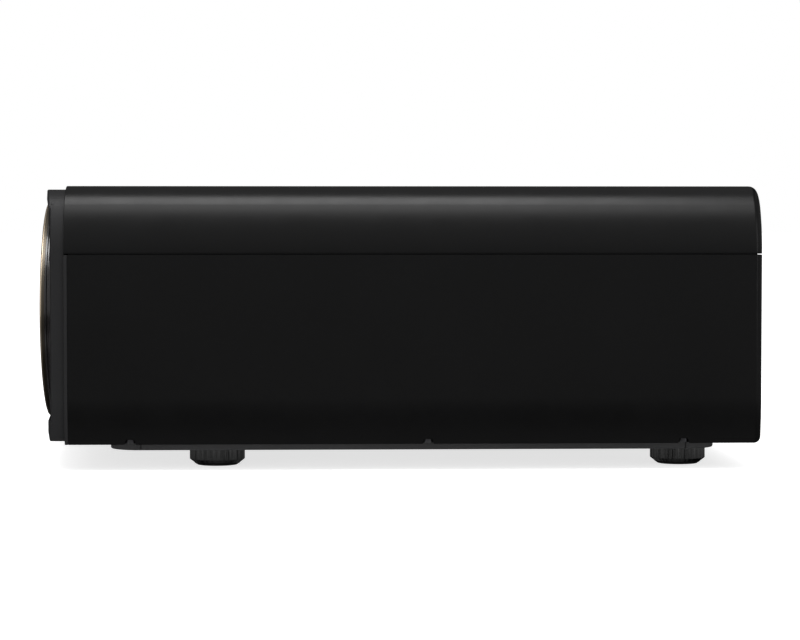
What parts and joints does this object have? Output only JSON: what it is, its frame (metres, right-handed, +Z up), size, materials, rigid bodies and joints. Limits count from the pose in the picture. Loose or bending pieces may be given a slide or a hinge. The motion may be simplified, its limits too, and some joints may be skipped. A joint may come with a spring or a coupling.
{
  "type": "home projector",
  "caption": "Low rectangular home projector with rounded shoulders, a bowed front panel with a large central lens ring, side exhaust louvres and screw feet.",
  "frame": {"origin": "on the ground, under the middle of the outer box", "axes": "+Z up, front towards -Y, +X to the projector's own left"},
  "size_m": [0.45, 0.4824, 0.1846],
  "materials": {
    "case_black": "fine-textured satin black moulded plastic",
    "panel_black": "smooth satin black moulded plastic",
    "grille_black": "matte black moulded louvres",
    "ring_black": "piano-gloss black",
    "champagne": "fine-brushed champagne gold",
    "baffle_black": "light-absorbing flat black",
    "foot_black": "knurled black nylon",
    "sole_rubber": "soft black rubber",
    "plate_black": "black powder-coated sheet steel",
    "brass_thread": "turned brass",
    "screw_black": "black-zinc steel",
    "terminal_black": "black-painted sheet",
    "socket_metal": "nickel-plated steel",
    "socket_black": "black moulded insulator",
    "key_black": "satin black key cap",
    "light_guide": "milky light guide",
    "smoked_window": "dark red infrared filter",
    "board_green": "solder-masked circuit board",
    "fan_black": "black glass-filled nylon",
    "cast_alloy": "die-cast alloy",
    "black_alloy": "black-anodised alloy",
    "copper_pipe": "nickel-free copper",
    "phosphor": "phosphor-coated disc",
    "steel_rod": "ground steel",
    "motor_steel": "pressed steel can",
    "coated_glass": "multi-coated optical glass",
    "gear_white": "acetal"
  },
  "bodies": {
    "case": {"lower_case": "case_black", "top_cover": "case_black", "base_plate": "plate_black", "front_panel": "panel_black", "exhaust_grille_left": "grille_black", "exhaust_grille_right": "grille_black", "lens_ring": "ring_black", "lens_trim_ring": "champagne", "lens_cone": "baffle_black", "foot_bushes": "brass_thread", "case_screws": "screw_black", "terminal_plate": "terminal_black", "video_sockets": "socket_metal", "network_socket": "socket_metal", "trigger_jack": "socket_black", "mains_inlet": "socket_black", "intake_grilles": "grille_black", "key_board": "board_green", "status_light": "light_guide", "infrared_windows": "smoked_window", "fan_frames": "fan_black", "laser_module": "cast_alloy", "laser_heat_sink": "cast_alloy", "heat_pipes": "copper_pipe", "wheel_motor": "motor_steel", "engine_housing": "cast_alloy", "imaging_prism": "coated_glass", "imaging_panels": "black_alloy", "main_board": "board_green", "power_board": "board_green", "lens_mount": "cast_alloy", "vertical_shift_motor": "motor_steel"},
    "foot_sole_front_left": {"foot_sole_front_left": "sole_rubber"},
    "foot_knob_front_left": {"foot_knob_front_left": "foot_black"},
    "foot_sole_front_right": {"foot_sole_front_right": "sole_rubber"},
    "foot_knob_front_right": {"foot_knob_front_right": "foot_black"},
    "foot_sole_rear_left": {"foot_sole_rear_left": "sole_rubber"},
    "foot_knob_rear_left": {"foot_knob_rear_left": "foot_black"},
    "foot_sole_rear_right": {"foot_sole_rear_right": "sole_rubber"},
    "foot_knob_rear_right": {"foot_knob_rear_right": "foot_black"},
    "power_key": {"power_key": "key_black"},
    "input_key": {"input_key": "key_black"},
    "select_key": {"select_key": "key_black"},
    "menu_key": {"menu_key": "key_black"},
    "back_key": {"back_key": "key_black"},
    "fan_rotor_left": {"fan_rotor_left": "fan_black"},
    "fan_rotor_right": {"fan_rotor_right": "fan_black"},
    "phosphor_wheel": {"phosphor_wheel": "phosphor"},
    "vertical_carriage": {"vertical_carriage": "cast_alloy", "horizontal_shift_motor": "motor_steel"},
    "vertical_screw": {"vertical_screw": "steel_rod"},
    "lens": {"lens_barrel": "black_alloy", "front_lens": "coated_glass", "rear_lens": "coated_glass", "lens_motors": "motor_steel"},
    "horizontal_screw": {"horizontal_screw": "steel_rod"},
    "focus_ring": {"focus_ring": "gear_white"},
    "focus_pinion": {"focus_pinion": "gear_white"},
    "zoom_ring": {"zoom_ring": "gear_white"},
    "zoom_pinion": {"zoom_pinion": "gear_white"}
  },
  "joints": [
    {"name": "foot_front_left_lower", "type": "slide", "parent": "case", "child": "foot_sole_front_left", "axis": [0, 0, -1], "range_m": [0, 0.008]},
    {"name": "foot_front_left_turn", "type": "hinge", "parent": "foot_sole_front_left", "child": "foot_knob_front_left", "pos_m": [0.17, -0.1141, 0.006], "axis": [0, 0, -1], "range_deg": [0, 2304]},
    {"name": "foot_front_right_lower", "type": "slide", "parent": "case", "child": "foot_sole_front_right", "axis": [0, 0, -1], "range_m": [0, 0.008]},
    {"name": "foot_front_right_turn", "type": "hinge", "parent": "foot_sole_front_right", "child": "foot_knob_front_right", "pos_m": [-0.17, -0.1141, 0.006], "axis": [0, 0, -1], "range_deg": [0, 2304]},
    {"name": "foot_rear_left_lower", "type": "slide", "parent": "case", "child": "foot_sole_rear_left", "axis": [0, 0, -1], "range_m": [0, 0.008]},
    {"name": "foot_rear_left_turn", "type": "hinge", "parent": "foot_sole_rear_left", "child": "foot_knob_rear_left", "pos_m": [0.17, 0.1937, 0.006], "axis": [0, 0, -1], "range_deg": [0, 2304]},
    {"name": "foot_rear_right_lower", "type": "slide", "parent": "case", "child": "foot_sole_rear_right", "axis": [0, 0, -1], "range_m": [0, 0.008]},
    {"name": "foot_rear_right_turn", "type": "hinge", "parent": "foot_sole_rear_right", "child": "foot_knob_rear_right", "pos_m": [-0.17, 0.1937, 0.006], "axis": [0, 0, -1], "range_deg": [0, 2304]},
    {"name": "power_key_press", "type": "slide", "parent": "case", "child": "power_key", "axis": [0, -1, 0], "range_m": [0, 0.0012], "stiffness_N_per_m": 600, "springref_m": -0.0008},
    {"name": "input_key_press", "type": "slide", "parent": "case", "child": "input_key", "axis": [0, -1, 0], "range_m": [0, 0.0012], "stiffness_N_per_m": 600, "springref_m": -0.0008},
    {"name": "select_key_press", "type": "slide", "parent": "case", "child": "select_key", "axis": [0, -1, 0], "range_m": [0, 0.0012], "stiffness_N_per_m": 600, "springref_m": -0.0008},
    {"name": "menu_key_press", "type": "slide", "parent": "case", "child": "menu_key", "axis": [0, -1, 0], "range_m": [0, 0.0012], "stiffness_N_per_m": 600, "springref_m": -0.0008},
    {"name": "back_key_press", "type": "slide", "parent": "case", "child": "back_key", "axis": [0, -1, 0], "range_m": [0, 0.0012], "stiffness_N_per_m": 600, "springref_m": -0.0008},
    {"name": "fan_left_spin", "type": "hinge", "parent": "case", "child": "fan_rotor_left", "pos_m": [0.149, -0.193, 0.098], "axis": [0, 1, 0], "continuous": true},
    {"name": "fan_right_spin", "type": "hinge", "parent": "case", "child": "fan_rotor_right", "pos_m": [-0.149, -0.193, 0.098], "axis": [0, 1, 0], "continuous": true},
    {"name": "wheel_spin", "type": "hinge", "parent": "case", "child": "phosphor_wheel", "pos_m": [-0.1095, 0.06, 0.084], "axis": [1, 0, 0], "continuous": true},
    {"name": "vertical_shift", "type": "slide", "parent": "case", "child": "vertical_carriage", "axis": [0, 0, 1], "range_m": [-0.006, 0.006]},
    {"name": "vertical_screw_spin", "type": "hinge", "parent": "case", "child": "vertical_screw", "pos_m": [0.092, -0.085, 0.099], "axis": [0, 0, 1], "range_deg": [-2160, 2160]},
    {"name": "horizontal_shift", "type": "slide", "parent": "vertical_carriage", "child": "lens", "axis": [1, 0, 0], "range_m": [-0.0043, 0.0043]},
    {"name": "horizontal_screw_spin", "type": "hinge", "parent": "vertical_carriage", "child": "horizontal_screw", "pos_m": [0, -0.095, 0.16], "axis": [1, 0, 0], "range_deg": [-1548, 1548]},
    {"name": "focus_turn", "type": "hinge", "parent": "lens", "child": "focus_ring", "pos_m": [0, -0.165, 0.098], "axis": [0, 1, 0], "range_deg": [-45, 45]},
    {"name": "focus_pinion_spin", "type": "hinge", "parent": "lens", "child": "focus_pinion", "pos_m": [0.05415, -0.165, 0.098], "axis": [0, 1, 0], "range_deg": [-225, 225]},
    {"name": "zoom_turn", "type": "hinge", "parent": "lens", "child": "zoom_ring", "pos_m": [0, -0.143, 0.098], "axis": [0, 1, 0], "range_deg": [-50, 50]},
    {"name": "zoom_pinion_spin", "type": "hinge", "parent": "lens", "child": "zoom_pinion", "pos_m": [-0.05415, -0.143, 0.098], "axis": [0, 1, 0], "range_deg": [-250, 250]}
  ],
  "couplings": [
    {"joint": "foot_front_left_turn", "follows": "foot_front_left_lower", "rad_per_m": 5026.5},
    {"joint": "foot_front_right_turn", "follows": "foot_front_right_lower", "rad_per_m": 5026.5},
    {"joint": "foot_rear_left_turn", "follows": "foot_rear_left_lower", "rad_per_m": 5026.5},
    {"joint": "foot_rear_right_turn", "follows": "foot_rear_right_lower", "rad_per_m": 5026.5},
    {"joint": "vertical_screw_spin", "follows": "vertical_shift", "rad_per_m": -6283.2},
    {"joint": "horizontal_screw_spin", "follows": "horizontal_shift", "rad_per_m": -6283.2},
    {"joint": "focus_pinion_spin", "follows": "focus_turn", "ratio": -5},
    {"joint": "zoom_pinion_spin", "follows": "zoom_turn", "ratio": -5}
  ]
}
